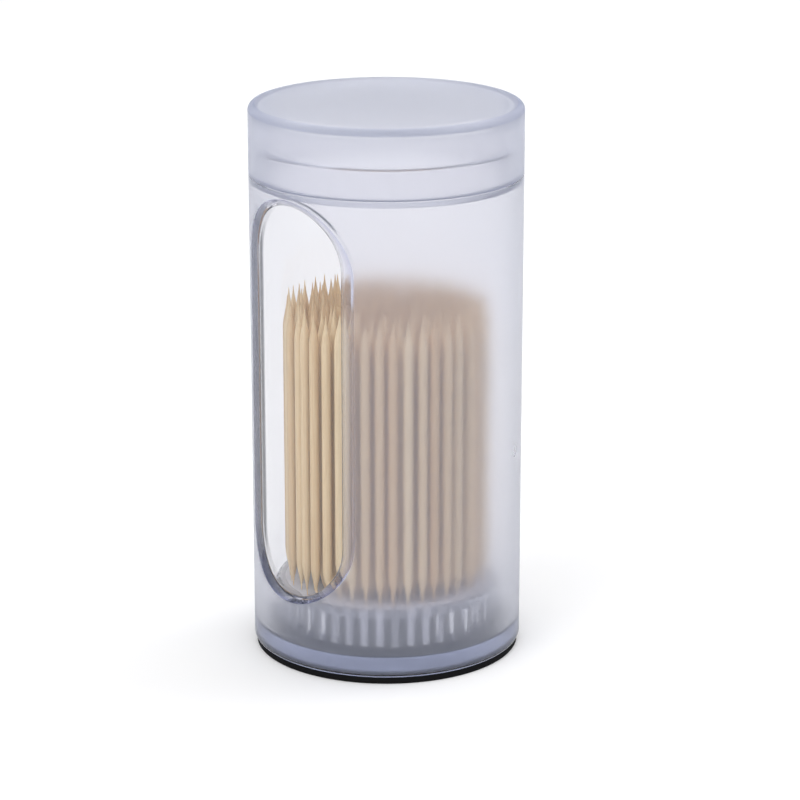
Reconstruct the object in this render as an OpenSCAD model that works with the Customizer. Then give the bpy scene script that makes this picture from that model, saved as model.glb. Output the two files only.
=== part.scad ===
// Round toothpick holder: a frosted cup with a clear window, a push-on lid,
// a raised inner floor, a rubber foot pad and a standing bundle of picks.
// The origin is the centre of the pad's underside, and the window faces -Y.

/* [Holder] */
// Outside diameter of the cup and the lid
holder_d = 59.5; // [52:0.5:75]
// Height of the cup from its underside to the shoulder that the lid sits on
cup_h = 105.6; // [100:0.1:125]
// Thickness of the cup's side wall
cup_wall = 2.1; // [1.6:0.1:2.8]
// Thickness of the cup's floor
cup_floor = 4.2; // [2:0.1:5]
// Rounding of the cup's lower outside edge
cup_foot_r = 0.9; // [0.4:0.1:1.4]
// Rounding between the cup's floor and its wall, inside
cup_corner_r = 0.9; // [0.4:0.1:1.6]

/* [Neck and lid] */
// Height of the neck above the shoulder
neck_h = 6.2; // [4:0.1:8]
// Thickness of the neck
neck_wall = 1.4; // [1:0.1:2]
// Height of the lid
lid_h = 15.2; // [11:0.2:22]
// Thickness of the lid's skirt
lid_wall = 2.1; // [1.6:0.1:2.8]
// Thickness of the lid's top plate
lid_plate = 1.9; // [1.6:0.1:3.2]
// Rounding of the lid's top edge
lid_edge_r = 1.5; // [0.6:0.1:1.6]
// Rounding inside the lid, between plate and skirt
lid_inner_r = 1.5; // [0.6:0.1:2]
// Running clearance all round between the neck and the lid
lid_gap = 0.25; // [0.1:0.05:0.5]
// Bevel on both edges of the seam between cup and lid
seam_bevel = 0.2; // [0.1:0.05:0.4]

/* [Window] */
// Width of the window over its rounded lip
window_w = 31.9; // [22:0.1:35]
// Height of the window's lower end above the cup's underside
window_lift = 14.4; // [10:0.1:16]
// Distance from the window's upper end to the shoulder that the lid sits on
window_drop = 1.6; // [1.6:0.1:20]
// Width of the lip along the straight sides
lip_side = 3.1; // [1.5:0.1:4]
// Width of the lip at the two round ends
lip_end = 1.4; // [0.8:0.1:2]
// Depth of the lip below the cup's outside
lip_depth = 0.9; // [0.4:0.1:1]
// Step from the lip down to the pane's outside
pane_step = 0.15; // [0.05:0.05:0.4]
// Clearance all round between the pane and the window's edge
pane_gap = 0.1; // [0.05:0.05:0.3]
// Width of the pane's flange past the window's edge
flange_w = 1.3; // [0.8:0.1:1.3]
// Thickness of the pane's flange inside the cup
flange_t = 0.6; // [0.5:0.1:1.2]

/* [Foot pad] */
// Thickness of the pad
pad_t = 1.4; // [0.8:0.1:3]
// Distance of the pad's edge inside the cup's outside
pad_inset = 0.5; // [0.2:0.1:2]
// Bevel on the pad's lower edge
pad_bevel = 0.2; // [0.1:0.05:0.3]

/* [Raised floor] */
// Height of the raised floor above the cup's own floor
stand_h = 9.7; // [6:0.1:14]
// Thickness of the raised floor's wall and plate
stand_wall = 1.7; // [1:0.1:2.4]
// Distance all round from the raised floor to the cup's inside
stand_gap = 2.7; // [1:0.1:5]
// Rounding of the raised floor's upper edge
stand_edge_r = 1; // [0.4:0.1:1.4]
// Number of upright ribs round the raised floor
rib_count = 45; // [20:1:60]
// Diameter of a rib, which stands halfway out of the wall
rib_d = 1.6; // [1:0.1:2.2]
// Height of a rib's round lower end above the cup's floor
rib_lift = 1.2; // [0.5:0.1:3]
// Distance of the ribs inside the raised floor's edge
rib_inset = 0.3; // [0.2:0.1:1]

/* [Picks] */
// Diameter of a pick
pick_d = 2.1; // [1.8:0.05:2.4]
// Length of the longest pick
pick_l = 65; // [55:0.5:68]
// Length of the taper at each end of a pick
pick_taper = 7; // [4:0.5:10]
// Largest amount by which a pick is shorter than the longest
pick_vary = 1; // [0.2:0.1:2]
// Room between the picks along a ring of the bundle
pick_room = 0.95; // [0.3:0.05:1.5]
// Room between one ring of the bundle and the next
ring_room = 0.6; // [0.3:0.05:1]
// Distance from the bundle to the edge of the raised floor
bundle_inset = 2; // [0.5:0.1:3]

/* [Hidden] */
$fn = 96;

frost_colour = "#d5dae6";
lid_colour = "#dde1ea";
clear_colour = "#eef2f6";
floor_colour = "#b9bfd2";
rubber_colour = "#1d1d1f";
wood_colour = "#dcc39c";

// Length by which a cut runs past the surface that it leaves through
overrun = 0.5;
// Steps in a small rounding, and in each round end of the window
round_steps = 6;
end_steps = 24;

// Heights, counted up from the table
cup_z = pad_t;
floor_z = cup_z + cup_floor;
stand_z = floor_z + stand_h;
seam_z = cup_z + cup_h;
neck_z = seam_z + neck_h;
top_z = seam_z + lid_h;

// Radii of the cup, its neck and the lid
holder_r = holder_d / 2;
bore_r = holder_r - cup_wall;
neck_r = holder_r - lid_wall - lid_gap;
neck_bore_r = neck_r - neck_wall;
neck_edge = neck_wall / 3;
shoulder_slope = bore_r - neck_bore_r;
stand_r = bore_r - stand_gap;

// Heights of the window's two ends over the lip
window_lo = cup_z + window_lift;
window_hi = seam_z - window_drop;
// Section of the lip, as shares of its width and of its depth, from just off the cup's outside
lip_shares = [[-0.3, -0.18], [0.25, 0.15], [0.5, 0.34], [0.75, 0.62], [0.9, 0.83], [1, 1]];

// Taper of a pick, as shares of the taper's length and of the pick's radius
taper_shares = [[0, 0.1], [0.25, 0.24], [0.5, 0.55], [0.75, 0.86], [1, 1]];
// Share of the free room that a pick is moved by
scatter_share = 0.8;
// Seed of the picks' scatter
scatter_seed = 11;
// Wedges that the bundle is shared among, one for each of its nodes
wedge_count = 15;

pick_r = pick_d / 2;
ring_pitch = pick_d + ring_room;
bundle_r = stand_r - bundle_inset - pick_r;
ring_count = floor(bundle_r / ring_pitch);

// Points of an arc in a section, from one angle to another
function arc(centre, r, from, to, steps) =
    [for (i = [0:steps]) let (a = from + (to - from) * i / steps)
        centre + r * [cos(a), sin(a)]];

// One contour of the window: [sideways, height] points, anticlockwise seen from -Y
function contour(half_w, low, high) = concat(
    arc([0, high - half_w], half_w, 0, 180, end_steps),
    arc([0, low + half_w], half_w, 180, 360, end_steps));

// The window's contour at a share of the lip's width
function lip_contour(width_share) = contour(
    window_w / 2 - lip_side * width_share,
    window_lo + lip_end * width_share,
    window_hi - lip_end * width_share);

// A contour laid round the cup's axis at a radius, or flat at a distance from the axis
function wrapped(outline, r) = [for (p = outline) [p[0], -sqrt(r * r - p[0] * p[0]), p[1]]];
function flat(outline, away) = [for (p = outline) [p[0], -away, p[1]]];

// Number of picks on a ring, and the free room between two of them
function ring_places(r) = r < ring_pitch / 2 ? 1 : floor(2 * PI * r / (pick_d + pick_room));
function ring_free(r, places) = places < 2 ? 0 : 2 * r * sin(180 / places) - pick_d;

// Places of the picks on a ring, [x, y, length]
function ring_picks(ring) =
    let (
        r = bundle_r - ring * ring_pitch,
        places = ring_places(r),
        free = ring_free(r, places),
        aside = rands(-1, 1, places, scatter_seed + 3 * ring),
        out = rands(-1, 1, places, scatter_seed + 3 * ring + 1),
        short = rands(0, 1, places, scatter_seed + 3 * ring + 2)
    )
    [for (i = [0:places - 1])
        let (
            away = max(0, r + out[i] * scatter_share * ring_room / 2),
            swing = r > 0 ? aside[i] * scatter_share * free / 2 / r * 180 / PI : 0,
            a = 360 * i / places + 360 * ring * scatter_share + swing
        )
        [away * cos(a), away * sin(a), pick_l - short[i] * pick_vary]];

bundle = [for (ring = [0:ring_count]) each ring_picks(ring)];

// Number of the wedge that a pick stands in, counted from +X towards +Y
function wedge_of(place) = 1 + floor((atan2(place[1], place[0]) + 360) % 360 * wedge_count / 360);

// Solid between a list of closed rings with equally many points
module skin(rings) {
    n = len(rings[0]);
    last = len(rings) - 1;
    polyhedron(
        points = [for (ring = rings) each ring],
        faces = concat(
            [[for (i = [n - 1:-1:0]) i]],
            [for (k = [0:last - 1]) for (i = [0:n - 1])
                let (j = (i + 1) % n)
                each [[k * n + i, (k + 1) * n + j, (k + 1) * n + i],
                      [k * n + i, k * n + j, (k + 1) * n + j]]],
            [[for (i = [0:n - 1]) last * n + i]]),
        convexity = 4);
}

// The window's opening, with the rounded lip, from outside the cup to inside it
module window_cut() {
    hole_w = window_w / 2 - lip_side;
    lip_rings = [for (s = lip_shares)
        wrapped(lip_contour(s[0]), holder_r - lip_depth * s[1])];
    skin(concat(
        [flat(lip_contour(lip_shares[0][0]), holder_r + overrun)],
        lip_rings,
        [flat(lip_contour(1), sqrt(bore_r * bore_r - hole_w * hole_w) - overrun)]));
}

// Upright slab with round ends that faces -Y, for cutting the pane to shape
module window_slab(half_w, low, high) {
    low_centre = low + half_w;
    high_centre = high - half_w;
    rotate([90, 0, 0]) {
        translate([-half_w, low_centre, 0])
            cube([2 * half_w, high_centre - low_centre, holder_r]);
        translate([0, low_centre, 0]) cylinder(r = half_w, h = holder_r);
        translate([0, high_centre, 0]) cylinder(r = half_w, h = holder_r);
    }
}

// Piece of a tube between two radii, as tall as the window with room to spare
module wall_band(r_in, r_out) {
    translate([0, 0, cup_z]) difference() {
        cylinder(r = r_out, h = cup_h);
        translate([0, 0, -overrun]) cylinder(r = r_in, h = cup_h + 2 * overrun);
    }
}

module foot_pad() {
    pad_r = holder_r - pad_inset;
    color(rubber_colour) rotate_extrude() polygon([
        [0, 0], [pad_r - pad_bevel, 0], [pad_r, pad_bevel], [pad_r, pad_t], [0, pad_t]]);
}

module cup() {
    color(frost_colour) difference() {
        rotate_extrude() polygon(concat(
            [[0, cup_z]],
            arc([holder_r - cup_foot_r, cup_z + cup_foot_r], cup_foot_r, -90, 0, round_steps),
            [[holder_r, seam_z - seam_bevel],
             [holder_r - seam_bevel, seam_z],
             [neck_r, seam_z],
             [neck_r, neck_z - neck_edge],
             [neck_r - neck_edge, neck_z],
             [neck_bore_r, neck_z],
             [neck_bore_r, seam_z],
             [bore_r, seam_z - shoulder_slope]],
            arc([bore_r - cup_corner_r, floor_z + cup_corner_r], cup_corner_r, 0, -90, round_steps),
            [[0, floor_z]]));
        window_cut();
    }
}

module window_pane() {
    hole_w = window_w / 2 - lip_side;
    hole_lo = window_lo + lip_end;
    hole_hi = window_hi - lip_end;
    color(clear_colour) {
        intersection() {
            wall_band(bore_r - flange_t, holder_r - lip_depth - pane_step);
            window_slab(hole_w - pane_gap, hole_lo + pane_gap, hole_hi - pane_gap);
        }
        intersection() {
            wall_band(bore_r - flange_t, bore_r);
            window_slab(hole_w + flange_w, hole_lo - flange_w, hole_hi + flange_w);
        }
    }
}

module raised_floor() {
    skirt_r = stand_r - rib_inset - rib_d / 2;
    under_z = stand_z - stand_wall;
    rib_z = floor_z + rib_lift;
    color(floor_colour) {
        rotate_extrude() polygon(concat(
            [[skirt_r - stand_wall, floor_z], [skirt_r, floor_z], [skirt_r, under_z],
             [stand_r, under_z]],
            arc([stand_r - stand_edge_r, stand_z - stand_edge_r], stand_edge_r, 0, 90,
                round_steps),
            [[0, stand_z], [0, under_z], [skirt_r - stand_wall, under_z]]));
        for (i = [0:rib_count - 1])
            rotate([0, 0, 360 * i / rib_count]) translate([skirt_r, 0, rib_z])
                rib(under_z + stand_wall / 2 - rib_z);
    }
}

// One upright rib that stands on its round lower end at the origin
module rib(height) {
    rib_r = rib_d / 2;
    rotate_extrude($fn = 24) polygon(concat(
        arc([0, rib_r], rib_r, -90, 0, round_steps), [[rib_r, height], [0, height]]));
}

module lid() {
    skirt_r = holder_r - lid_wall;
    plate_z = top_z - lid_plate;
    color(lid_colour) rotate_extrude() polygon(concat(
        [[skirt_r, seam_z], [holder_r - seam_bevel, seam_z], [holder_r, seam_z + seam_bevel]],
        arc([holder_r - lid_edge_r, top_z - lid_edge_r], lid_edge_r, 0, 90, round_steps),
        [[0, top_z], [0, plate_z]],
        arc([skirt_r - lid_inner_r, plate_z - lid_inner_r], lid_inner_r, 90, 0, round_steps)));
}

// One double-pointed pick that stands on its lower tip at the origin
module pick(length) {
    lower = [for (s = taper_shares) [pick_r * s[1], pick_taper * s[0]]];
    upper = [for (i = [len(lower) - 1:-1:0]) [lower[i][0], length - lower[i][1]]];
    rotate_extrude($fn = 24) polygon(concat([[0, 0]], lower, upper, [[0, length]]));
}

// The picks that stand in one wedge of the bundle
module toothpicks(wedge) {
    color(wood_colour) for (place = bundle)
        if (wedge_of(place) == wedge)
            translate([place[0], place[1], stand_z]) pick(place[2]);
}

foot_pad();
cup();
window_pane();
raised_floor();
lid();
toothpicks(1);  // toothpicks_01
toothpicks(2);  // toothpicks_02
toothpicks(3);  // toothpicks_03
toothpicks(4);  // toothpicks_04
toothpicks(5);  // toothpicks_05
toothpicks(6);  // toothpicks_06
toothpicks(7);  // toothpicks_07
toothpicks(8);  // toothpicks_08
toothpicks(9);  // toothpicks_09
toothpicks(10);  // toothpicks_10
toothpicks(11);  // toothpicks_11
toothpicks(12);  // toothpicks_12
toothpicks(13);  // toothpicks_13
toothpicks(14);  // toothpicks_14
toothpicks(15);  // toothpicks_15
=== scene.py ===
"""Looks of a round toothpick holder, built around its fixed frame.

The cup and lid are frosted plastic, the window pane and the raised floor are clear, the foot pad
is black rubber, and the picks are birch. Every piece takes its place from the frame.
"""

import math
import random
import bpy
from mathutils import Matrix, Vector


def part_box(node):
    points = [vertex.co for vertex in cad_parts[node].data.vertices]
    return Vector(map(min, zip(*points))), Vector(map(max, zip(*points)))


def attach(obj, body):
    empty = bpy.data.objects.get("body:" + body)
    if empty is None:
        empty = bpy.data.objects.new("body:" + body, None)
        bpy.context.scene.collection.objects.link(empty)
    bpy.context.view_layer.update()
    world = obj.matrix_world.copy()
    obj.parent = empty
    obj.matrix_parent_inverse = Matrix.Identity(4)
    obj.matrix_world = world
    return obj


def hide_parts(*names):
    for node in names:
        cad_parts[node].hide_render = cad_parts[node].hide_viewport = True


bl_info = {
    "name": "Toothpick Holder Looks",
    "version": (1, 0, 0),
    "blender": (4, 5, 0),
    "location": "3D View > Sidebar > Holder",
    "description": "Builds the finished pieces of a round toothpick holder around its frame",
    "category": "Object",
}

import bmesh
import bpy
from bpy.props import FloatProperty, FloatVectorProperty, IntProperty, PointerProperty
from mathutils import Vector

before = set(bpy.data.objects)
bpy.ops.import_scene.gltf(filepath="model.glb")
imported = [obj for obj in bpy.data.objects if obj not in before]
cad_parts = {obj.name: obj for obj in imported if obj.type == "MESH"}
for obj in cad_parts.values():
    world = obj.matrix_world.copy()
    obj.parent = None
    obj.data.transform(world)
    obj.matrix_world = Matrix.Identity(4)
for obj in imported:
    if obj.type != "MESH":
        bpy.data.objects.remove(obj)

MM = 0.001
TAU = 2 * math.pi

# A Mix node keeps its two colours in these inputs, and its mixed colour in this output
MIX_FIRST, MIX_SECOND, MIX_RESULT = 6, 7, 2

# Width in millimetres of the sensor that the camera's focal length goes with
SENSOR_WIDTH = 36

# The frame's own sizes, in metres
PAD_LOW, PAD_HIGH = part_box("foot_pad")
CUP_LOW, CUP_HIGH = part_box("cup")
LID_LOW, LID_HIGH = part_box("lid")
PANE_LOW, PANE_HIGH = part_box("window_pane")
STAND_LOW, STAND_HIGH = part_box("raised_floor")
HOLDER_RADIUS = CUP_HIGH.x
PICK_NODES = sorted(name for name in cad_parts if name.startswith("toothpicks_"))


def hex_to_linear(code):
    """Turns an sRGB hex colour into the linear values that shaders use."""
    channels = [int(code[i:i + 2], 16) / 255 for i in (1, 3, 5)]
    return tuple(c / 12.92 if c <= 0.04045 else ((c + 0.055) / 1.055) ** 2.4 for c in channels)


def length(name, description, default):
    """A length property in metres, shown in the scene's own unit."""
    return FloatProperty(name=name, description=description, default=default, min=0,
                         unit="LENGTH", subtype="DISTANCE", precision=5)


def share(name, description, default):
    """A property for a share of something, from none to all of it."""
    return FloatProperty(name=name, description=description, default=default, min=0, max=1,
                         subtype="FACTOR")


def angle(name, description, degrees):
    """An angle property, given in degrees."""
    return FloatProperty(name=name, description=description, default=math.radians(degrees),
                         subtype="ANGLE")


def colour(name, description, code):
    """A colour property that holds linear values and starts from an sRGB hex colour."""
    return FloatVectorProperty(name=name, description=description, size=3, min=0, max=1,
                               default=hex_to_linear(code), subtype="COLOR")


class CupSizes(bpy.types.PropertyGroup):
    """Sizes of the cup that its box doesn't give."""

    wall: length("Wall", "Thickness of the cup's side wall", 2.1 * MM)
    floor: length("Floor", "Thickness of the cup's floor", 4.2 * MM)
    foot_round: length("Foot rounding", "Radius of the lower outside edge", 0.9 * MM)
    corner_round: length("Inside rounding", "Radius between floor and wall", 0.9 * MM)
    neck_wall: length("Neck", "Thickness of the neck", 1.4 * MM)
    seam_bevel: length("Seam bevel", "Height of the small groove that the seam makes", 0.2 * MM)
    columns: IntProperty(name="Columns", description="Faces round the cup", default=192, min=96)


class PadSizes(bpy.types.PropertyGroup):
    """Sizes of the foot pad that its box doesn't give."""

    edge_round: length("Edge rounding", "Radius of the pad's lower edge", 0.2 * MM)
    glue_ring: length("Glue ring", "Width of the glued ring along the edge", 6.0 * MM)
    glue_bite: length("Glue bite", "How far the glued ring wets the cup's floor", 0.01 * MM)
    air_film: length("Air film", "Depth of the film of air inside the glued ring", 0.04 * MM)


class LidSizes(bpy.types.PropertyGroup):
    """Sizes of the lid that its box doesn't give."""

    skirt: length("Skirt", "Thickness of the lid's skirt", 2.1 * MM)
    plate: length("Plate", "Thickness of the lid's top plate", 1.9 * MM)
    edge_round: length("Edge rounding", "Radius of the lid's top edge", 1.5 * MM)
    inner_round: length("Inside rounding", "Radius between plate and skirt", 2.3 * MM)
    gap: length("Running gap", "Clearance between neck and skirt", 0.25 * MM)


class WindowSizes(bpy.types.PropertyGroup):
    """Sizes of the window's lip and of the pane in it."""

    lip_side: length("Lip at the sides", "Width of the lip along the straight sides", 3.1 * MM)
    lip_end: length("Lip at the ends", "Width of the lip at the round ends", 1.4 * MM)
    lip_depth: length("Lip depth", "Depth of the lip below the cup's outside", 0.9 * MM)
    pane_step: length("Step", "Step from the lip down to the pane", 0.1 * MM)
    bond: length("Bond", "How far the solvent bond joins pane and wall", 0.01 * MM)
    flange: length("Flange", "Width of the flange past the window's edge", 1.3 * MM)
    flange_thickness: length("Flange thickness", "Thickness of the flange", 0.6 * MM)
    pane_round: length("Pane edge", "Radius of the pane's outer edge", 0.12 * MM)


class StandSizes(bpy.types.PropertyGroup):
    """Sizes of the raised floor that its box doesn't give."""

    wall: length("Wall", "Thickness of the raised floor's wall and plate", 1.7 * MM)
    edge_round: length("Edge rounding", "Radius of the upper edge", 1.0 * MM)
    dim_rim: length("Dim rim", "Width of the less milky ring round the top", 1.2 * MM)
    rib_diameter: length("Rib", "Diameter of an upright rib", 1.6 * MM)
    rib_inset: length("Rib inset", "Distance of the ribs inside the edge", 0.3 * MM)
    rib_lift: length("Rib lift", "Height of the ribs' lower ends above the cup's floor", 1.2 * MM)
    rib_count: IntProperty(name="Ribs", description="Ribs round the raised floor", default=45)
    seed: IntProperty(name="Seed", description="Seed of the ribs' milkiness", default=2344)


class PickSizes(bpy.types.PropertyGroup):
    """Sizes of the wooden picks."""

    diameter: length("Diameter", "Diameter of a pick", 2.1 * MM)
    taper: length("Taper", "Length of the taper at each end", 7.0 * MM)
    tip: length("Tip", "Diameter of the blunt tip", 0.2 * MM)
    light_depth: length("Light depth", "How far light falls in between the picks from above",
                        14.0 * MM)
    bundle_inset: length("Bundle inset", "Distance from the bundle to the raised floor's edge",
                         2.0 * MM)
    sides: IntProperty(name="Sides", description="Faces round a pick", default=18, min=8)
    seed: IntProperty(name="Seed", description="Seed of the picks' small differences", default=7)


class Finishes(bpy.types.PropertyGroup):
    """Colours of the pieces, and how far their faces are frosted.

    Frosting is the roughness of a fully frosted face, and clearness the share of its light that
    isn't scattered back.
    """

    resin: colour("Resin", "Colour of the frosted resin's own surface", "#f6f5f5")
    clear: colour("Clear resin", "Colour of the clear resin's own surface", "#ffffff")
    tint: colour("Tint", "Colour that a thick piece of the resin takes on", "#bcc5de")
    tint_density: FloatProperty(name="Tint density", description="Absorption per metre",
                                default=36.0, min=0)
    # Painted shade: dark lavender along the window lip's outer edge, fullest low down
    deep: colour("Deep cast", "Colour of the resin along the lip's outer edge", "#8f97d2")
    frost: colour("Frost", "Light that the frost scatters back", "#cbd5f6")
    milk: colour("Milk", "Light that the raised floor's milky faces scatter back", "#f2f4ff")
    cup_frosting: share("Cup frosting", "Roughness of the cup's blasted faces", 0.28)
    cup_clearness: share("Cup clearness", "Light that the cup's frost lets through", 0.885)
    lid_frosting: share("Lid frosting", "Roughness of the lid's blasted faces", 0.46)
    lid_clearness: share("Lid clearness", "Light that the lid's frost lets through", 0.76)
    lip_frost: share("Lip frost", "Frost on the window's lip, against the wall's", 0.35)
    lid_flat_frost: share("Lid flat frost", "Frost on the lid's top and side, against its edge's",
                          0.7)
    floor_frosting: share("Floor frosting", "Roughness of the raised floor's milky faces", 0.2)
    floor_clearness: share("Floor clearness", "Light that the milk lets through", 0.0)
    floor_rim_milk: share("Floor rim milk", "Milk on the ring round the raised floor's top", 0.6)
    floor_edge_milk: share("Floor edge milk", "Milk on the raised floor's upper edge", 0.2)
    rib_milk: share("Rib milk", "Milk of the milkiest rib", 0.6)
    frosted_light: colour("Light through frost", "Light that a frosted face lets in", "#f5f5f6")
    clear_light: colour("Light through clear resin", "Light that a clear face lets in", "#fcfcfa")
    rubber: colour("Rubber", "Colour of the foot pad", "#161617")
    wood_light: colour("Light birch", "Colour of the wood between its grain lines", "#f9e2ba")
    wood_dark: colour("Dark birch", "Colour of the wood's grain lines", "#dbb07c")
    # Painted shade: the darker colour that picks deep in the bundle are mixed towards
    wood_painted_shade: colour("Core birch", "Colour of the picks deep in the bundle", "#a67c50")


class StageSettings(bpy.types.PropertyGroup):
    """Floor, lights and camera."""

    floor_size: length("Floor", "Side of the pale floor", 6.0)
    paper: colour("Paper", "Colour of the pale floor", "#fcfcfc")
    azimuth: angle("Azimuth", "Camera's turn round the holder", 45.7)
    elevation: angle("Elevation", "Camera's height over the horizon", 16.40)
    distance: length("Distance", "Camera's distance from the holder's axis", 660 * MM)
    aim_right: length("Aim right", "How far right of the axis the camera aims", 2.92 * MM)
    aim_down: length("Aim down", "How far below the middle the camera aims", 5.43 * MM)
    sky: FloatProperty(name="Sky", description="Strength of the white sweep's light",
                       default=1.02, min=0)
    wall_start: angle("Wall start", "Where the side walls begin", 44)
    wall_end: angle("Wall end", "Where the side walls are dimmest", 80)
    wall_colour: colour("Wall colour", "Light of the side walls", "#3e467a")
    key_power: FloatProperty(name="Key light", description="Power of the lamp in front",
                             default=2.8, min=0, unit="POWER")
    back_power: FloatProperty(name="Back light", description="Power of the lamp behind",
                              default=2.0, min=0, unit="POWER")
    lens: FloatProperty(name="Focal length", description="In millimetres, as the sensor is",
                        default=134.96, min=20)


class HolderSettings(bpy.types.PropertyGroup):
    """Everything that a user can change."""

    pad: PointerProperty(type=PadSizes)
    cup: PointerProperty(type=CupSizes)
    lid: PointerProperty(type=LidSizes)
    window: PointerProperty(type=WindowSizes)
    stand: PointerProperty(type=StandSizes)
    pick: PointerProperty(type=PickSizes)
    finish: PointerProperty(type=Finishes)
    stage: PointerProperty(type=StageSettings)


def settings():
    """All the property groups, as they hang on the scene."""
    return bpy.context.scene.holder_settings


# Materials

def add_node(tree, kind, values=(), links=()):
    """Adds a node, sets its properties and input values, and links its inputs."""
    node = tree.nodes.new(kind)
    for name, value in dict(values).items():
        if isinstance(name, str) and hasattr(node, name) and name not in node.inputs:
            setattr(node, name, value)
        else:
            node.inputs[name].default_value = value
    for name, source in dict(links).items():
        tree.links.new(source, node.inputs[name])
    return node


def new_material(name):
    """An empty node material, to be filled by the caller."""
    material = bpy.data.materials.new(name)
    material.use_nodes = True
    material.node_tree.nodes.clear()
    return material, material.node_tree


def opaque(rgb):
    """A colour property as the four numbers that a socket takes."""
    return (rgb[0], rgb[1], rgb[2], 1.0)


def clear_resin(name, surface_colour, passing_colour, frost_colour=None, frosting=0.0,
                clearness=1.0, lip_shade_colour=None):
    """Clear polystyrene with a lavender cast, injection moulded.

    Faces marked as frosted come off a bead-blasted tool wall, so things behind them blur with
    their distance. The rest come off polished steel. The cast deepens with the resin's depth.
    A resin with no frost colour is clear all over, and only one with a lip shade colour has
    painted shade on a lip.
    """
    finish = settings().finish
    material, tree = new_material(name)
    place = add_node(tree, "ShaderNodeTexCoord")
    # Flow marks in a moulding are about 5 mm apart and barely change the gloss
    flow = add_node(tree, "ShaderNodeTexNoise", {"Scale": 1 / (5 * MM), "Detail": 1.0},
                    {"Vector": place.outputs["Object"]})
    unevenness = add_node(tree, "ShaderNodeMapRange", {"To Min": -0.01, "To Max": 0.01},
                          {"Value": flow.outputs["Fac"]})
    blasted = add_node(tree, "ShaderNodeAttribute", {"attribute_name": "frosted"})
    finish_of_face = add_node(tree, "ShaderNodeMapRange", {"To Min": 0.0, "To Max": frosting},
                              {"Value": blasted.outputs["Fac"]})
    roughness = add_node(tree, "ShaderNodeMath", {"operation": "ADD", "use_clamp": True},
                         {0: finish_of_face.outputs["Result"], 1: unevenness.outputs["Result"]})
    shader = add_node(tree, "ShaderNodeBsdfPrincipled",
                      {"Base Color": opaque(surface_colour), "IOR": 1.49,
                       "Transmission Weight": 1.0},
                      {"Roughness": roughness.outputs["Value"]})
    skin = shader.outputs["BSDF"]
    if lip_shade_colour is not None:
        # Painted shade: the lip's outer edge is mixed towards a dark lavender, which stands in for
        # the shade that falls there
        lip = add_node(tree, "ShaderNodeAttribute", {"attribute_name": "lip_painted_shade"})
        cast = add_node(tree, "ShaderNodeMix",
                        {"data_type": "RGBA", "clamp_factor": True,
                         MIX_FIRST: opaque(surface_colour), MIX_SECOND: opaque(lip_shade_colour)},
                        {"Factor": lip.outputs["Fac"]})
        tree.links.new(cast.outputs[MIX_RESULT], shader.inputs["Base Color"])
    if frost_colour is not None:
        # A blasted face also scatters a little of the light back, as fine frost does
        held_back = add_node(tree, "ShaderNodeMapRange",
                             {"To Min": 0.0, "To Max": 1 - clearness},
                             {"Value": blasted.outputs["Fac"]})
        frost = add_node(tree, "ShaderNodeBsdfDiffuse", {"Color": opaque(frost_colour)})
        frosted_skin = add_node(tree, "ShaderNodeMixShader", {},
                                {0: held_back.outputs["Result"], 1: skin,
                                 2: frost.outputs["BSDF"]})
        skin = frosted_skin.outputs["Shader"]
    # Light that falls in through the resin is only a little weaker than outside
    passing = add_node(tree, "ShaderNodeBsdfTransparent", {"Color": opaque(passing_colour)})
    ray = add_node(tree, "ShaderNodeLightPath")
    surface = add_node(tree, "ShaderNodeMixShader", {},
                       {0: ray.outputs["Is Shadow Ray"], 1: skin, 2: passing.outputs["BSDF"]})
    depth = add_node(tree, "ShaderNodeVolumeAbsorption",
                     {"Color": opaque(finish.tint), "Density": finish.tint_density})
    add_node(tree, "ShaderNodeOutputMaterial", {},
             {"Surface": surface.outputs["Shader"], "Volume": depth.outputs["Volume"]})
    return material


def pad_rubber(name, rgb):
    """Black nitrile rubber sheet, cut to a disc: matt, with a fine ground grain."""
    material, tree = new_material(name)
    place = add_node(tree, "ShaderNodeTexCoord")
    # Ground grain of about 0.2 mm
    grain = add_node(tree, "ShaderNodeTexNoise", {"Scale": 1 / (0.2 * MM), "Detail": 3.0},
                     {"Vector": place.outputs["Object"]})
    bump = add_node(tree, "ShaderNodeBump", {"Strength": 0.3, "Distance": 0.05 * MM},
                    {"Height": grain.outputs["Fac"]})
    rough = add_node(tree, "ShaderNodeMapRange", {"To Min": 0.6, "To Max": 0.8},
                     {"Value": grain.outputs["Fac"]})
    shader = add_node(tree, "ShaderNodeBsdfPrincipled",
                      {"Base Color": opaque(rgb), "IOR": 1.5, "Specular IOR Level": 0.05},
                      {"Roughness": rough.outputs["Result"], "Normal": bump.outputs["Normal"]})
    add_node(tree, "ShaderNodeOutputMaterial", {}, {"Surface": shader.outputs["BSDF"]})
    return material


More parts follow.
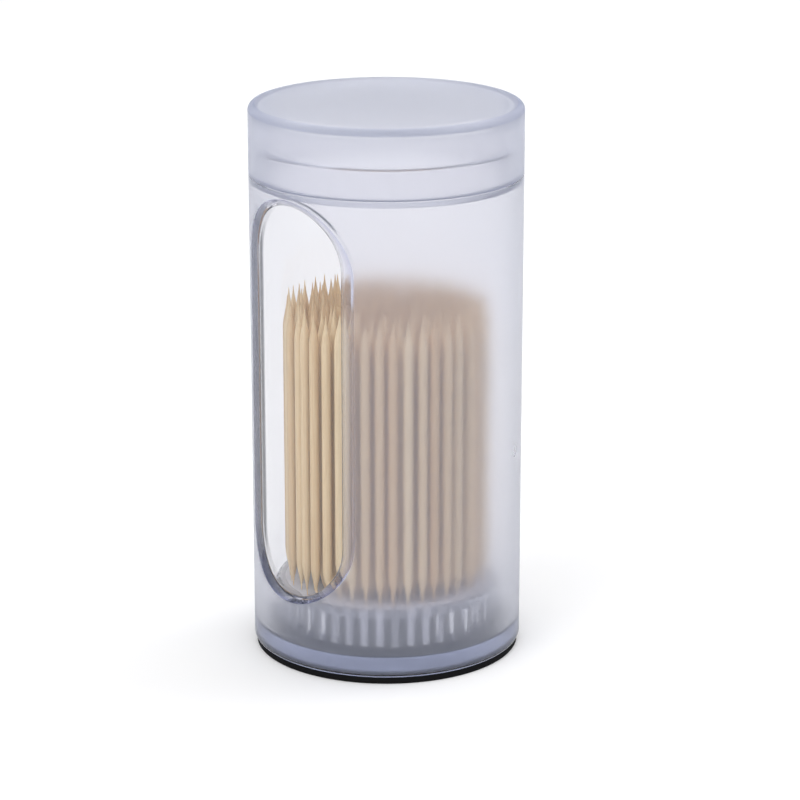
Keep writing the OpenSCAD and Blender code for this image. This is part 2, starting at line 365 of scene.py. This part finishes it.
def pick_birch(name, light, dark, shade_colour):
    """Birch rod, cut, pointed and tumbled smooth: pale, with fine lines along the grain."""
    material, tree = new_material(name)
    place = add_node(tree, "ShaderNodeTexCoord")
    # Grain lines are about 0.25 mm across and run on for about 12 mm
    across, along = 1 / (0.25 * MM), 1 / (12 * MM)
    stretched = add_node(tree, "ShaderNodeMapping", {"Scale": (across, across, along)},
                         {"Vector": place.outputs["Object"]})
    lines = add_node(tree, "ShaderNodeTexNoise", {"Scale": 1.0, "Detail": 3.0, "Roughness": 0.6},
                     {"Vector": stretched.outputs["Vector"]})
    shade = add_node(tree, "ShaderNodeMapRange", {"From Min": 0.35, "From Max": 0.75},
                     {"Value": lines.outputs["Fac"]})
    # Each pick has its own tone, kept with its mesh, and the grain adds up to this to it
    grain_strength = 0.45
    tone = add_node(tree, "ShaderNodeAttribute", {"attribute_name": "pick_tone"})
    mixed = add_node(tree, "ShaderNodeMath", {"operation": "MULTIPLY_ADD", 1: grain_strength},
                     {0: shade.outputs["Result"], 2: tone.outputs["Fac"]})
    grained = add_node(tree, "ShaderNodeMix",
                       {"data_type": "RGBA", "clamp_factor": True,
                        MIX_FIRST: opaque(light), MIX_SECOND: opaque(dark)},
                       {"Factor": mixed.outputs["Value"]})
    # Painted shade: picks deep in the bundle are mixed towards a darker colour, which stands in
    # for the shade between them
    depth = add_node(tree, "ShaderNodeAttribute", {"attribute_name": "pick_painted_shade"})
    wood = add_node(tree, "ShaderNodeMix",
                    {"data_type": "RGBA", "clamp_factor": True, MIX_SECOND: opaque(shade_colour)},
                    {"Factor": depth.outputs["Fac"], MIX_FIRST: grained.outputs[MIX_RESULT]})
    bump = add_node(tree, "ShaderNodeBump", {"Strength": 0.25, "Distance": 0.03 * MM},
                    {"Height": lines.outputs["Fac"]})
    shader = add_node(tree, "ShaderNodeBsdfPrincipled", {"Roughness": 0.55, "IOR": 1.5},
                      {"Base Color": wood.outputs[MIX_RESULT],
                       "Normal": bump.outputs["Normal"]})
    add_node(tree, "ShaderNodeOutputMaterial", {}, {"Surface": shader.outputs["BSDF"]})
    return material


def matt_paper(name, rgb):
    """White paper sweep, uncoated: matt, so it takes a soft shadow and no reflection."""
    material, tree = new_material(name)
    shader = add_node(tree, "ShaderNodeBsdfPrincipled",
                      {"Base Color": opaque(rgb), "Roughness": 0.9, "Specular IOR Level": 0.1})
    add_node(tree, "ShaderNodeOutputMaterial", {}, {"Surface": shader.outputs["BSDF"]})
    return material


# Shapes

def arc(centre_r, centre_z, radius, start, end, steps):
    """Points of an arc in a section, [radius, height], from one angle in degrees to another."""
    return [(centre_r + radius * math.cos(math.radians(start + (end - start) * i / steps)),
             centre_z + radius * math.sin(math.radians(start + (end - start) * i / steps)))
            for i in range(steps + 1)]


def new_piece(name, bm, material, sharp=30):
    """Makes a shaded object of a bmesh, with edges sharper than an angle in degrees kept sharp."""
    bmesh.ops.recalc_face_normals(bm, faces=bm.faces)
    for edge in bm.edges:
        faces = edge.link_faces
        edge.smooth = len(faces) == 2 and edge.calc_face_angle(0) < math.radians(sharp)
    for face in bm.faces:
        face.smooth = True
    mesh = bpy.data.meshes.new(name)
    bm.to_mesh(mesh)
    bm.free()
    mesh.materials.append(material)
    piece = bpy.data.objects.new(name, mesh)
    bpy.context.scene.collection.objects.link(piece)
    return piece


def add_grid(bm, rows, skip=None, frosted=None):
    """Adds quads between closed rows of points.

    skip(row, column) leaves a quad out, and frosted(row) says how frosted a row of quads is,
    from 0 to 1.
    """
    layer = bm.faces.layers.float.get("frosted") or bm.faces.layers.float.new("frosted")
    made = [[bm.verts.new(p) for p in row] for row in rows]
    count = len(rows[0])
    for k in range(len(rows) - 1):
        mark = float(frosted(k)) if frosted else 0.0
        for i in range(count):
            j = (i + 1) % count
            if skip and skip(k, i):
                continue
            face = bm.faces.new((made[k][i], made[k][j], made[k + 1][j], made[k + 1][i]))
            face[layer] = mark


def spun_rows(profile, columns):
    """Rows of points of a section turned about the Z axis; column 0 faces -Y."""
    return [[(r * math.sin(TAU * i / columns), -r * math.cos(TAU * i / columns), z)
             for i in range(columns)] for r, z in profile]


def weld(bm, distance=1e-6):
    """Joins points nearer to each other than a distance in metres, and drops loose parts."""
    bmesh.ops.remove_doubles(bm, verts=bm.verts, dist=distance)
    wires = [e for e in bm.edges if not e.link_faces]
    bmesh.ops.delete(bm, geom=wires, context="EDGES")
    loose = [v for v in bm.verts if not v.link_faces]
    bmesh.ops.delete(bm, geom=loose, context="VERTS")


def spun_piece(name, profile, material, columns=256, closed=True, frosted=None):
    """A turned piece from a section that starts and ends on the axis, or is a closed ring."""
    bm = bmesh.new()
    add_grid(bm, spun_rows(profile + profile[:1] if closed else profile, columns),
             frosted=frosted)
    weld(bm)
    return new_piece(name, bm, material)


def window_ends():
    """Half width, lowest and highest point of the window's hole, from the pane's box."""
    window = settings().window
    return (PANE_HIGH.x - window.flange, PANE_LOW.z + window.flange,
            PANE_HIGH.z - window.flange)


# Faces along a quarter of the window's outline, up its side and over its top
SIDE_STEPS = 32
TOP_STEPS = 20


def quarter(half_w, low, high):
    """A quarter of the window's outline, from the middle of one side to the middle of the top."""
    straight = (high - low) / 2 - half_w
    reach = straight + half_w * math.pi / 4
    points = []
    for i in range(SIDE_STEPS + 1):
        s = reach * i / SIDE_STEPS
        turn = max(0.0, s - straight) / half_w
        points.append((half_w * math.cos(turn), min(s, straight) + half_w * math.sin(turn)))
    for i in range(1, TOP_STEPS + 1):
        turn = math.pi / 4 * (1 + i / TOP_STEPS)
        points.append((half_w * math.cos(turn), straight + half_w * math.sin(turn)))
    return points


def all_round(points, low, high):
    """A quarter outline mirrored to a closed one, as [sideways, height]."""
    middle = (low + high) / 2
    up_right = points[:-1]
    up_left = [(-x, z) for x, z in reversed(points[1:])]
    down_left = [(-x, -z) for x, z in points[:-1]]
    down_right = [(x, -z) for x, z in reversed(points[1:])]
    return [(x, middle + z) for x, z in up_right + up_left + down_left + down_right]


def outline(half_w, low, high):
    """The window's closed outline."""
    return all_round(quarter(half_w, low, high), low, high)


def wrapped(points, radius):
    """An outline laid round the holder's axis at a radius, facing -Y."""
    return [(x, -math.sqrt(radius * radius - x * x), z) for x, z in points]


def blended(inner, outer, outwards):
    """Points a share of the way between two outlines that match point by point."""
    return [tuple(a + (b - a) * outwards for a, b in zip(p, q)) for p, q in zip(inner, outer)]


def fan_rows(half_w, low, high, radius, rows):
    """Rows from the window's middle line out to its outline, laid at a radius."""
    edge = outline(half_w, low, high)
    middle = [(0.0, min(max(z, low + half_w), high - half_w)) for x, z in edge]
    return [wrapped(blended(middle, edge, i / rows), radius) for i in range(rows + 1)]


def patch_rows(edge, radius, half_angle, low, high, rows):
    """Rows from the window's outline to the edge of its patch of wall, laid at a radius."""
    corner = [(half_angle, (high - low) / 2 * i / SIDE_STEPS) for i in range(SIDE_STEPS + 1)]
    corner += [(half_angle * (1 - i / TOP_STEPS), (high - low) / 2)
               for i in range(1, TOP_STEPS + 1)]
    border = all_round(corner, low, high)
    hole = [(math.asin(x / radius), z) for x, z in edge]
    return [[(radius * math.sin(a), -radius * math.cos(a), z)
             for a, z in blended(hole, border, i / rows)] for i in range(rows + 1)]


def cup_bmesh():
    """The cup's closed skin, with the window's lip and opening.

    A turned skin leaves out a patch round the window, outside and in the bore. The patches and
    the lip between them are then made to its outline.
    """
    cup, window, lid = settings().cup, settings().window, settings().lid
    lip_frost = settings().finish.lip_frost
    outer_r = HOLDER_RADIUS
    bore_r = outer_r - cup.wall
    neck_r = outer_r - lid.skirt - lid.gap
    neck_bore_r = neck_r - cup.neck_wall
    foot_z, seam_z, neck_z = CUP_LOW.z, LID_LOW.z, CUP_HIGH.z
    floor_z = foot_z + cup.floor
    hole_w, hole_low, hole_high = window_ends()
    lip_w = hole_w + window.lip_side
    lip_low, lip_high = hole_low - window.lip_end, hole_high + window.lip_end
    # The patches reach past the lip by these lengths
    margin_below, margin_above = 1.2 * MM, 0.7 * MM
    patch_low, patch_high = lip_low - margin_below, lip_high + margin_above
    columns = cup.columns
    rows = 2 * SIDE_STEPS
    wall_z = [patch_low + (patch_high - patch_low) * k / rows for k in range(rows + 1)]
    # The bore's own patch ends between the hole and the slope under the neck
    slope_z = seam_z - (bore_r - neck_bore_r)
    bore_high = (hole_high + slope_z) / 2
    bore_z = [patch_low + (bore_high - patch_low) * k / rows for k in range(rows + 1)]

    foot = cup.foot_round
    inner = cup.corner_round
    edge = cup.neck_wall / 3
    bevel = cup.seam_bevel / 2
    section = [(0, foot_z)] + arc(outer_r - foot, foot_z + foot, foot, -90, 0, steps=10)
    wall_start = len(section)
    section += [(outer_r, z) for z in wall_z]
    section += [(outer_r, seam_z - bevel), (outer_r - bevel, seam_z), (neck_r, seam_z)]
    section += arc(neck_r - edge, neck_z - edge, edge, 0, 90, steps=6)
    section += [(neck_bore_r, neck_z)]
    slope_start = len(section)
    section += [(neck_bore_r, seam_z), (bore_r, slope_z)]
    bore_start = len(section)
    section += [(bore_r, z) for z in reversed(bore_z)]
    section += arc(bore_r - inner, floor_z + inner, inner, 0, -90, steps=10) + [(0, floor_z)]

    def in_patch(k, i):
        """Whether a quad lies where a patch with the window takes its place."""
        beside = i < TOP_STEPS or i >= columns - TOP_STEPS
        return beside and (wall_start <= k < wall_start + rows
                           or bore_start <= k < bore_start + rows)

    def blasted(k):
        """Whether a row is part of the outside wall or of the slope under the neck."""
        return k == slope_start or wall_start - 1 <= k < wall_start + rows + 1

    bm = bmesh.new()
    add_grid(bm, spun_rows(section, columns), skip=in_patch, frosted=blasted)
    half_angle = TAU * TOP_STEPS / columns
    lip_edge = outline(lip_w, lip_low, lip_high)
    hole_edge = outline(hole_w, hole_low, hole_high)
    add_grid(bm, patch_rows(lip_edge, outer_r, half_angle, patch_low, patch_high, rows=5),
             frosted=lambda k: 1.0)
    add_grid(bm, patch_rows(hole_edge, bore_r, half_angle, patch_low, bore_high, rows=8))
    # The lip falls away more steeply towards the pane than at its outer edge
    lip_rows = []
    lip_steps = 10
    for i in range(lip_steps + 1):
        inwards = i / lip_steps
        depth = window.lip_depth * (2 * inwards + inwards * inwards) / 3
        line = outline(lip_w - window.lip_side * inwards, lip_low + window.lip_end * inwards,
                       lip_high - window.lip_end * inwards)
        lip_rows.append(wrapped(line, outer_r - depth))
    lip_rows.append(wrapped(hole_edge, bore_r))
    before = len(bm.faces)
    add_grid(bm, lip_rows, frosted=lambda k: lip_frost)
    # The painted shade fades from the lip's outer edge to the pane, and is full only low down
    shade_high_up = 0.6
    lip_shade_layer = bm.faces.layers.float.new("lip_painted_shade")
    bm.faces.ensure_lookup_table()
    for i, face in enumerate(bm.faces[before:]):
        low_down = (patch_high - face.calc_center_median().z) / (patch_high - patch_low)
        across = max(0.0, 1 - (i // len(hole_edge)) / (lip_steps - 1))
        face[lip_shade_layer] = across * (shade_high_up + (1 - shade_high_up) * low_down ** 2)
    weld(bm)
    return bm


def pane_bmesh():
    """The clear pane: a plug that fills the window and a flange behind the wall."""
    cup, window = settings().cup, settings().window
    outer_r = HOLDER_RADIUS
    bore_r = outer_r - cup.wall
    face_r = outer_r - window.lip_depth - window.pane_step
    back_r = bore_r - window.flange_thickness
    hole_w, hole_low, hole_high = window_ends()
    bond, soft, flange = window.bond, window.pane_round, window.flange

    def ring(grow, radius):
        """The window's outline, larger by a length, laid at a radius."""
        return wrapped(outline(hole_w + grow, hole_low - grow, hole_high + grow), radius)

    def fan(grow, radius):
        """The face within such an outline."""
        return fan_rows(hole_w + grow, hole_low - grow, hole_high + grow, radius, rows=14)

    # The plug's edge is rounded off in four steps
    turns = [math.pi / 8 * i for i in range(5)]
    bm = bmesh.new()
    add_grid(bm, fan(bond - soft, face_r))
    add_grid(bm, [ring(bond - soft * (1 - math.sin(t)), face_r - soft * (1 - math.cos(t)))
                  for t in turns]
             + [ring(bond, bore_r + bond), ring(flange, bore_r + bond), ring(flange, back_r)])
    add_grid(bm, fan(flange, back_r))
    weld(bm)
    return bm


def stand_bmesh():
    """The raised floor: a plate on a clear round skirt, with milky upright ribs round it."""
    sizes, finish = settings().stand, settings().finish
    radius, low, high = STAND_HIGH.x, STAND_LOW.z, STAND_HIGH.z
    under = high - sizes.wall
    rib_r = sizes.rib_diameter / 2
    skirt_r = radius - sizes.rib_inset - rib_r
    edge = sizes.edge_round
    pitch = TAU / sizes.rib_count
    columns_per_rib = 16
    half = rib_r / skirt_r
    foot = low + sizes.rib_lift
    just_below_foot = foot - 0.01 * MM

    def skirt_radius(turn, z):
        """Radius of the ribbed skirt: a half-round rib in the middle of each pitch."""
        off = abs((turn + pitch / 2) % pitch - pitch / 2)
        rise = rib_r - max(0.0, foot + rib_r - z)
        if rise <= 0 or off >= half:
            return skirt_r
        side = 1 - (off / half) ** 2 - (1 - rise / rib_r) ** 2
        return skirt_r + rib_r * math.sqrt(max(0.0, side))

    def ring(r, z, ribbed=False):
        """Points round the axis at a height, on a circle or on the ribbed skirt."""
        points = []
        for i in range(columns_per_rib * sizes.rib_count):
            a = math.pi / 2 + pitch * i / columns_per_rib
            reach = skirt_radius(pitch * i / columns_per_rib, z) if ribbed else r
            points.append((reach * math.sin(a), -reach * math.cos(a), z))
        return points

    # Each rib starts with a quarter round, in steps of 15 degrees
    heights = [low, just_below_foot]
    heights += [foot + rib_r * (1 - math.cos(math.radians(t))) for t in range(0, 91, 15)]
    heights += [under]
    rows = [ring(0, high), ring(radius - edge - sizes.dim_rim, high), ring(radius - edge, high)]
    rows += [ring(r, z) for r, z in arc(radius - edge, high - edge, edge, 90, 0, steps=8)[1:]]
    plate_edge_end = len(rows)
    rows += [ring(radius, under)]
    rows += [ring(0, z, ribbed=True) for z in reversed(heights)]
    rows += [ring(skirt_r - sizes.wall, low), ring(skirt_r - sizes.wall, under), ring(0, under)]

    def milky(k):
        """Milk of a row: full on the plate's top, less on its rim, little on its edge."""
        if k < 2:
            return (1.0, finish.floor_rim_milk)[k]
        return finish.floor_edge_milk * (k < plate_edge_end)

    bm = bmesh.new()
    add_grid(bm, rows, frosted=milky)
    layer = bm.faces.layers.float["frosted"]
    rng = random.Random(sizes.seed)
    # An exponent over 1 leaves most ribs nearly clear
    few_milky = 1.5
    milkiness = [finish.rib_milk * rng.random() ** few_milky for _ in range(sizes.rib_count)]
    # Faces that stand out from the skirt by more than a fifth of a rib belong to a rib
    rib_start = skirt_r + rib_r * 0.2
    for face in bm.faces:
        middle = face.calc_center_median()
        if middle.z > low and math.hypot(middle.x, middle.y) > rib_start:
            turn = math.atan2(middle.x, -middle.y) - math.pi / 2
            rib = round(turn / pitch)
            # A milky streak runs on over the plate's edge above its rib
            if middle.z < under or abs(turn - rib * pitch) < half:
                face[layer] = max(face[layer], milkiness[rib % sizes.rib_count])
    weld(bm)
    return bm


def pick_places(node):
    """Centre, lowest and highest point of each pick in a node of the frame."""
    bm = bmesh.new()
    bm.from_mesh(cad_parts[node].data)
    weld(bm, distance=1e-7)
    waiting, places = set(bm.verts), []
    while waiting:
        group, border = [], [waiting.pop()]
        while border:
            vert = border.pop()
            group.append(vert.co.copy())
            for edge in vert.link_edges:
                other = edge.other_vert(vert)
                if other in waiting:
                    waiting.remove(other)
                    border.append(other)
        xs, ys, zs = ([co[k] for co in group] for k in range(3))
        places.append(((min(xs) + max(xs)) / 2, (min(ys) + max(ys)) / 2, min(zs), max(zs)))
    bm.free()
    return sorted(places)


def pick_outline(reach, sizes):
    """Section of a pick, [radius, height], whose tapers swell softly from needle tips.

    The shaft has one more point, down to which the light falls between the picks.
    """
    tip, half = sizes.tip / 2, sizes.diameter / 2
    steps = 9
    # The tip's flat end is a little narrower than the tip
    flat_end = 0.7 * tip
    lower = [(0, 0), (flat_end, 0)]
    for i in range(1, steps + 1):
        along = i / steps
        swell = along * along * (3 - 2 * along)
        lower.append((tip + (half - tip) * swell, sizes.taper * along))
    upper = [(r, reach - z) for r, z in reversed(lower)]
    return lower + [(half, reach - sizes.taper - sizes.light_depth)] + upper


# Least and most dark grain that a pick's tone adds, as shares of the dark colour
TONE_RANGE = (-0.32, 0.42)
# The most that a pick is flattened, and that a facet is worn, as shares of its radius
MOST_OVAL = 0.03
DEEPEST_FACET = 0.02
# Rows of picks, each two diameters deep, that full light reaches into the bundle
LIT_ROWS = 0.3
# Share of the inner picks' shade that is left where light falls in from above
SHADE_FROM_ABOVE = 0.22


def pick_bmesh(node, rng):
    """All the picks of one node, each a little different in section and tone."""
    sizes = settings().pick
    bm = bmesh.new()
    tone_layer = bm.verts.layers.float.new("pick_tone")
    painted_shade_layer = bm.verts.layers.float.new("pick_painted_shade")
    bundle_r = STAND_HIGH.x - sizes.bundle_inset - sizes.diameter / 2
    for x, y, low, high in pick_places(node):
        # Painted shade, darker the further a pick stands inside the bundle, and lighter near its
        # top
        depth = (bundle_r - math.hypot(x, y)) / (2 * sizes.diameter)
        shade = min(max(depth - LIT_ROWS, 0.0), 1.0)
        tone = rng.uniform(*TONE_RANGE)
        turn = rng.uniform(0, TAU)
        oval = rng.uniform(0.0, MOST_OVAL)
        facets = [rng.uniform(-DEEPEST_FACET, 0.0) for _ in range(sizes.sides)]
        lit_from = high - sizes.taper - sizes.light_depth / 2
        rows, shades = [], []
        for r, z in pick_outline(high - low, sizes):
            shades.append(SHADE_FROM_ABOVE * shade if low + z > lit_from else shade)
            row = []
            for i in range(sizes.sides):
                a = TAU * i / sizes.sides + turn
                radius = r * (1 - oval * math.cos(2 * (a - turn)) ** 2 + facets[i])
                row.append((x + radius * math.cos(a), y + radius * math.sin(a), low + z))
            rows.append(row)
        before = len(bm.verts)
        add_grid(bm, rows)
        bm.verts.ensure_lookup_table()
        for k, vert in enumerate(bm.verts[before:]):
            vert[tone_layer] = tone
            vert[painted_shade_layer] = shades[k // sizes.sides]
    weld(bm)
    return bm


def studio_light(tree, stage):
    """A white sweep behind and above, with dimmer, cooler walls at both sides.

    The walls darken the edges of clear and frosted pieces, as flags beside a product do. The
    camera itself sees white all round.
    """
    direction = add_node(tree, "ShaderNodeTexCoord")
    across = (math.cos(stage.azimuth), math.sin(stage.azimuth), 0.0)
    sideways = add_node(tree, "ShaderNodeVectorMath", {"operation": "DOT_PRODUCT", 1: across},
                        {0: direction.outputs["Generated"]})
    off_axis = add_node(tree, "ShaderNodeMath", {"operation": "ABSOLUTE"},
                        {0: sideways.outputs["Value"]})
    wall = add_node(tree, "ShaderNodeMapRange",
                    {"interpolation_type": "SMOOTHSTEP",
                     "From Min": math.sin(stage.wall_start), "From Max": math.sin(stage.wall_end)},
                    {"Value": off_axis.outputs["Value"]})
    seen = add_node(tree, "ShaderNodeLightPath")
    unseen = add_node(tree, "ShaderNodeMath", {"operation": "SUBTRACT", 0: 1.0},
                      {1: seen.outputs["Is Camera Ray"]})
    dimmed = add_node(tree, "ShaderNodeMath", {"operation": "MULTIPLY"},
                      {0: wall.outputs["Result"], 1: unseen.outputs["Value"]})
    white = (1.0, 1.0, 1.0)
    light = add_node(tree, "ShaderNodeMix",
                     {"data_type": "RGBA", MIX_FIRST: opaque(white),
                      MIX_SECOND: opaque(stage.wall_colour)},
                     {"Factor": dimmed.outputs["Value"]})
    glow = add_node(tree, "ShaderNodeBackground", {"Strength": stage.sky},
                    {"Color": light.outputs[MIX_RESULT]})
    add_node(tree, "ShaderNodeOutputWorld", {}, {"Surface": glow.outputs[0]})


# Operators

class HOLDER_OT_stage(bpy.types.Operator):
    """Makes the pale floor, the soft studio light and the camera"""

    bl_idname = "holder.stage"
    bl_label = "Stage"

    def execute(self, context):
        stage = settings().stage
        scene = context.scene
        scene.view_settings.view_transform = "Standard"
        side = stage.floor_size / 2
        bm = bmesh.new()
        corners = [bm.verts.new((x * side, y * side, 0)) for x, y in
                   ((-1, -1), (1, -1), (1, 1), (-1, 1))]
        bm.faces.new(corners)
        floor = new_piece("pale_floor", bm, matt_paper("White paper sweep", stage.paper))

        world = bpy.data.worlds.new("Studio white")
        scene.world = world
        world.use_nodes = True
        world.node_tree.nodes.clear()
        studio_light(world.node_tree, stage)

        middle = Vector((0, 0, (PAD_LOW.z + LID_HIGH.z) / 2))
        a, e = stage.azimuth, stage.elevation
        back = Vector((math.sin(a) * math.cos(e), -math.cos(a) * math.cos(e), math.sin(e)))
        right = Vector((math.cos(a), math.sin(a), 0))
        up = back.cross(right)
        # Each lamp's name, its diameter in metres, how far it stands to the camera's right of
        # the holder's middle, nearer to the camera and above it, and its power
        lamps = (
            ("key_light", 0.6, (-0.55, 0.55, 0.75), stage.key_power),
            ("back_light", 0.5, (0.60, -0.25, 0.70), stage.back_power),
        )
        for name, size, (sideways, towards, high), power in lamps:
            data = bpy.data.lights.new(name, "AREA")
            data.shape = "DISK"
            data.size = size
            data.energy = power
            lamp = bpy.data.objects.new(name, data)
            level = Vector((back.x, back.y, 0)).normalized()
            lamp.location = middle + right * sideways + level * towards + Vector((0, 0, high))
            lamp.rotation_mode = "QUATERNION"
            lamp.rotation_quaternion = (middle - lamp.location).to_track_quat("-Z", "Y")
            # Soft as they are, the lamps leave no hard image in polished faces
            lamp.visible_glossy = False
            lamp.visible_transmission = False
            scene.collection.objects.link(lamp)

        data = bpy.data.cameras.new("camera")
        data.sensor_width = SENSOR_WIDTH
        data.lens = stage.lens
        # The camera sees from 10 mm to well past the floor's far edge
        data.clip_start, data.clip_end = 10 * MM, 50
        camera = bpy.data.objects.new("camera", data)
        camera.location = middle + back * stage.distance
        aim = middle + right * stage.aim_right - up * stage.aim_down
        camera.rotation_mode = "QUATERNION"
        camera.rotation_quaternion = (aim - camera.location).to_track_quat("-Z", "Y")
        scene.collection.objects.link(camera)
        scene.camera = camera
        return {"FINISHED"}


class HOLDER_OT_foot_pad(bpy.types.Operator):
    """Makes the black rubber disc under the cup"""

    bl_idname = "holder.foot_pad"
    bl_label = "Foot pad"

    def execute(self, context):
        # Only a ring along the edge is wetted by the glue, and shows black through the cup's
        # floor. Inside it lies a film of air, which lets the floor shine.
        pad = settings().pad
        radius, low, soft = PAD_HIGH.x, PAD_LOW.z, pad.edge_round
        top, film_z = PAD_HIGH.z + pad.glue_bite, PAD_HIGH.z - pad.air_film
        ring_r = radius - pad.glue_ring
        profile = ([(0, low)] + arc(radius - soft, low + soft, soft, -90, 0, steps=4)
                   + arc(radius - soft / 2, top - soft / 2, soft / 2, 0, 90, steps=3)
                   + [(ring_r, top), (ring_r - soft, film_z), (0, film_z)])
        disc = spun_piece("foot_pad_disc", profile,
                          pad_rubber("Nitrile rubber", settings().finish.rubber), closed=False)
        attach(disc, "holder")
        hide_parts("foot_pad")
        return {"FINISHED"}


class HOLDER_OT_cup(bpy.types.Operator):
    """Makes the frosted cup with its window opening"""

    bl_idname = "holder.cup"
    bl_label = "Cup"

    def execute(self, context):
        finish = settings().finish
        cup = new_piece("cup_shell", cup_bmesh(),
                        clear_resin("Frosted polystyrene", finish.resin, finish.frosted_light,
                                    finish.frost, finish.cup_frosting, finish.cup_clearness,
                                    lip_shade_colour=finish.deep))
        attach(cup, "holder")
        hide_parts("cup")
        return {"FINISHED"}


class HOLDER_OT_window_pane(bpy.types.Operator):
    """Makes the clear pane in the window"""

    bl_idname = "holder.window_pane"
    bl_label = "Window pane"

    def execute(self, context):
        finish = settings().finish
        pane = new_piece("clear_pane", pane_bmesh(),
                         clear_resin("Clear polystyrene", finish.clear, finish.clear_light))
        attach(pane, "holder")
        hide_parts("window_pane")
        return {"FINISHED"}


class HOLDER_OT_raised_floor(bpy.types.Operator):
    """Makes the clear raised floor that the picks stand on"""

    bl_idname = "holder.raised_floor"
    bl_label = "Raised floor"

    def execute(self, context):
        finish = settings().finish
        stand = new_piece("clear_raised_floor", stand_bmesh(),
                          clear_resin("Clear floor polystyrene", finish.clear,
                                      finish.clear_light, finish.milk, finish.floor_frosting,
                                      finish.floor_clearness))
        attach(stand, "holder")
        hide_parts("raised_floor")
        return {"FINISHED"}


class HOLDER_OT_lid(bpy.types.Operator):
    """Makes the hollow push-on lid"""

    bl_idname = "holder.lid"
    bl_label = "Lid"

    def execute(self, context):
        sizes, cup, finish = settings().lid, settings().cup, settings().finish
        outer_r, low, high = LID_HIGH.x, LID_LOW.z, LID_HIGH.z
        skirt_r, plate_z = outer_r - sizes.skirt, high - sizes.plate
        edge, inner, bevel = sizes.edge_round, sizes.inner_round, cup.seam_bevel / 2
        side = [(skirt_r, low), (outer_r - bevel, low), (outer_r, low + bevel)]
        edge_steps = 12
        profile = side + arc(outer_r - edge, high - edge, edge, 0, 90, steps=edge_steps)
        edge_end = len(side) + edge_steps
        profile += [(0, high), (0, plate_z)]
        inside = len(profile) - 1
        profile += arc(skirt_r - inner, plate_z - inner, inner, 90, 0, steps=10)

        def blasted(k):
            """Frost of a row: full on the rounded edge, less on the side and the top."""
            return 1.0 if len(side) <= k < edge_end else finish.lid_flat_frost * (k < inside)

        lid = spun_piece("lid_cap", profile,
                         clear_resin("Satin lid polystyrene", finish.resin,
                                     finish.frosted_light, finish.frost, finish.lid_frosting,
                                     finish.lid_clearness),
                         frosted=blasted)
        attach(lid, "lid")
        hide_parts("lid")
        return {"FINISHED"}


class HOLDER_OT_toothpicks(bpy.types.Operator):
    """Makes the birch picks, one object for each node of the frame"""

    bl_idname = "holder.toothpicks"
    bl_label = "Toothpicks"

    def execute(self, context):
        finish, sizes = settings().finish, settings().pick
        birch = pick_birch("Birch rod", finish.wood_light, finish.wood_dark, finish.wood_painted_shade)
        rng = random.Random(sizes.seed)
        for node in PICK_NODES:
            picks = new_piece("birch_" + node, pick_bmesh(node, rng), birch, sharp=50)
            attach(picks, "holder")
            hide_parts(node)
        return {"FINISHED"}


OPERATORS = (HOLDER_OT_stage, HOLDER_OT_foot_pad, HOLDER_OT_cup, HOLDER_OT_window_pane,
             HOLDER_OT_raised_floor, HOLDER_OT_lid, HOLDER_OT_toothpicks)


class HOLDER_PT_panel(bpy.types.Panel):
    """Lists the operators, in the order in which they build the holder, and its settings"""

    bl_idname = "HOLDER_PT_panel"
    bl_label = "Toothpick holder"
    bl_space_type = "VIEW_3D"
    bl_region_type = "UI"
    bl_category = "Holder"

    def draw(self, context):
        column = self.layout.column()
        for operator in OPERATORS:
            column.operator(operator.bl_idname)
        for group in HolderSettings.__annotations__:
            box = self.layout.box()
            sizes = getattr(settings(), group)
            for name in type(sizes).__annotations__:
                box.prop(sizes, name)


CLASSES = (PadSizes, CupSizes, LidSizes, WindowSizes, StandSizes, PickSizes, Finishes,
           StageSettings, HolderSettings) + OPERATORS + (HOLDER_PT_panel,)


def register():
    """Registers the classes and hangs the settings on the scene."""
    for cls in CLASSES:
        bpy.utils.register_class(cls)
    bpy.types.Scene.holder_settings = PointerProperty(type=HolderSettings)


def unregister():
    """Takes the settings and the classes away again."""
    del bpy.types.Scene.holder_settings
    for cls in reversed(CLASSES):
        bpy.utils.unregister_class(cls)


def main():
    """Builds the whole holder."""
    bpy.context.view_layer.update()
    register()
    bpy.ops.holder.stage()
    bpy.ops.holder.foot_pad()
    bpy.ops.holder.cup()
    bpy.ops.holder.window_pane()
    bpy.ops.holder.raised_floor()
    bpy.ops.holder.lid()
    bpy.ops.holder.toothpicks()


if __name__ == "__main__":
    main()
